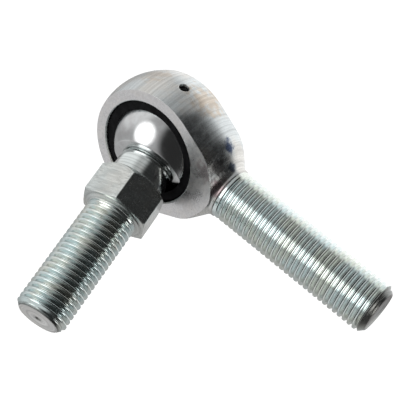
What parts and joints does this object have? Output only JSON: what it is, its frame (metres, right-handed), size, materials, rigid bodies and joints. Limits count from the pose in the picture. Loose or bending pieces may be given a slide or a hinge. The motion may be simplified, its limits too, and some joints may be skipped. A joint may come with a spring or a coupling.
{
  "type": "studded rod end bearing",
  "caption": "Male rod end with a threaded shank, a moulded black race and a polished ball that carries a hexagonal threaded stud.",
  "frame": {"origin": "centre of the ball, which is also the centre of the eye", "axes": "+X along the shank towards its threaded tip, +Z through the gate hole in the crown of the eye, and the eye axis is Y with the stud on the -Y side"},
  "size_m": [0.0617, 0.0464, 0.0321],
  "materials": {
    "zinc_steel": "bright zinc plate, finely brushed flats",
    "black_nylon": "black moulded nylon, satin",
    "polished_steel": "polished hard chrome plate",
    "zinc_stud": "bright zinc plate"
  },
  "bodies": {
    "housing": {"rod_end_body": "zinc_steel", "gate_plug": "black_nylon"},
    "race_ring": {"race": "black_nylon"},
    "ball_body": {"ball": "polished_steel"},
    "stud_body": {"stud": "zinc_stud"}
  },
  "joints": [
    {"name": "lean_direction", "type": "hinge", "parent": "housing", "child": "race_ring", "pos_m": [0, 0, 0], "axis": [0, -1, 0], "continuous": true},
    {"name": "lean", "type": "hinge", "parent": "race_ring", "child": "ball_body", "pos_m": [0, 0, 0], "axis": [0.8829, 0, 0.4695], "range_deg": [-51.4, 0.6]},
    {"name": "stud_spin", "type": "hinge", "parent": "ball_body", "child": "stud_body", "pos_m": [0, 0, 0], "axis": [0.2014, -0.9033, -0.3787], "continuous": true}
  ]
}
